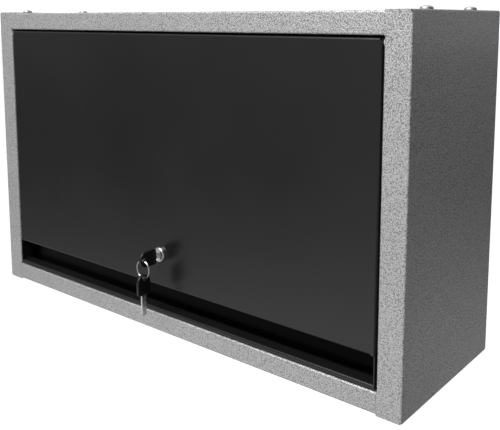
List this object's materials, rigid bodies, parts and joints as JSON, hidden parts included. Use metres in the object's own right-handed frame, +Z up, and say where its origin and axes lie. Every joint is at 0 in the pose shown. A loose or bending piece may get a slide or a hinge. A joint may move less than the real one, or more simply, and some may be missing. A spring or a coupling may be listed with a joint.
{
  "type": "hanging wall cabinet",
  "caption": "Wide, shallow sheet-steel wall cabinet with an inset lift-up door, a full-width finger recess, gas struts and a keyed cam lock.",
  "frame": {"origin": "centre of the four wall holes, on the wall plane", "axes": "+X along the width to the right as seen from the front, +Y into the wall, +Z up"},
  "size_m": [0.6, 0.225, 0.3645],
  "materials": {
    "grey_hammertone": "silver-grey hammertone paint, satin",
    "black_powder_coat": "smooth satin black powder coat",
    "zinc": "bright zinc plate",
    "chrome": "polished chrome plate",
    "nickel": "bright nickel plate",
    "key_plastic": "black moulded plastic",
    "socket_plastic": "black glass-filled nylon",
    "nylon": "natural nylon",
    "rubber": "black rubber",
    "black_tube": "gloss black lacquer",
    "rod_chrome": "hard chrome plate"
  },
  "bodies": {
    "cabinet": {"side_panel_left": "grey_hammertone", "side_panel_right": "grey_hammertone", "top_panel": "grey_hammertone", "bottom_panel": "grey_hammertone", "back_panel": "grey_hammertone", "top_screws": "zinc", "top_nuts": "zinc", "bottom_screws": "zinc", "bottom_nuts": "zinc", "door_bumpers": "rubber", "hinge_bushes": "nylon", "strut_bracket_left": "zinc", "strut_bracket_right": "zinc"},
    "door": {"door_panel": "black_powder_coat", "hinge_pins": "zinc", "pin_clips": "zinc", "lock_housing": "chrome", "lock_nut": "zinc"},
    "lock": {"lock_plug": "chrome", "lock_cam": "zinc", "cam_screw": "zinc"},
    "key": {"key_blade": "nickel", "key_head": "key_plastic"},
    "ring": {"key_ring": "nickel"},
    "spare_key": {"spare_key_blade": "nickel", "spare_key_head": "key_plastic"},
    "left_strut": {"strut_tube_left": "black_tube", "strut_base_socket_left": "socket_plastic"},
    "left_rod": {"strut_rod_left": "rod_chrome", "strut_rod_socket_left": "socket_plastic", "strut_stud_left": "zinc"},
    "right_strut": {"strut_tube_right": "black_tube", "strut_base_socket_right": "socket_plastic"},
    "right_rod": {"strut_rod_right": "rod_chrome", "strut_rod_socket_right": "socket_plastic", "strut_stud_right": "zinc"}
  },
  "joints": [
    {"name": "door_hinge", "type": "hinge", "parent": "cabinet", "child": "door", "pos_m": [0, -0.185, 0.152], "axis": [-1, 0, 0], "range_deg": [0, 90]},
    {"name": "lock_turn", "type": "hinge", "parent": "door", "child": "lock", "pos_m": [0, -0.19, -0.088], "axis": [0, 1, 0], "range_deg": [0, 90]},
    {"name": "key_pull", "type": "slide", "parent": "lock", "child": "key", "axis": [0, -1, 0], "range_m": [0, 0.024]},
    {"name": "ring_swing", "type": "hinge", "parent": "key", "child": "ring", "pos_m": [0, -0.216, -0.088], "axis": [1, 0, 0], "range_deg": [-40, 10]},
    {"name": "spare_key_swing", "type": "hinge", "parent": "ring", "child": "spare_key", "pos_m": [0, -0.216, -0.1086], "axis": [1, 0, 0], "range_deg": [-40, 10]},
    {"name": "left_strut_swing", "type": "hinge", "parent": "cabinet", "child": "left_strut", "pos_m": [-0.262, -0.05, -0.04], "axis": [1, 0, 0], "range_deg": [0, 2.45]},
    {"name": "left_strut_extend", "type": "slide", "parent": "left_strut", "child": "left_rod", "axis": [0, -0.6738, 0.7389], "range_m": [0, 0.07071]},
    {"name": "right_strut_swing", "type": "hinge", "parent": "cabinet", "child": "right_strut", "pos_m": [0.262, -0.05, -0.04], "axis": [1, 0, 0], "range_deg": [0, 2.45]},
    {"name": "right_strut_extend", "type": "slide", "parent": "right_strut", "child": "right_rod", "axis": [0, -0.6738, 0.7389], "range_m": [0, 0.07071]}
  ],
  "couplings": [
    {"joint": "left_strut_swing", "follows": "door_hinge", "ratio": 0.026719},
    {"joint": "left_strut_extend", "follows": "door_hinge", "m_per_rad": 0.044888},
    {"joint": "right_strut_swing", "follows": "door_hinge", "ratio": 0.026719},
    {"joint": "right_strut_extend", "follows": "door_hinge", "m_per_rad": 0.044888}
  ]
}
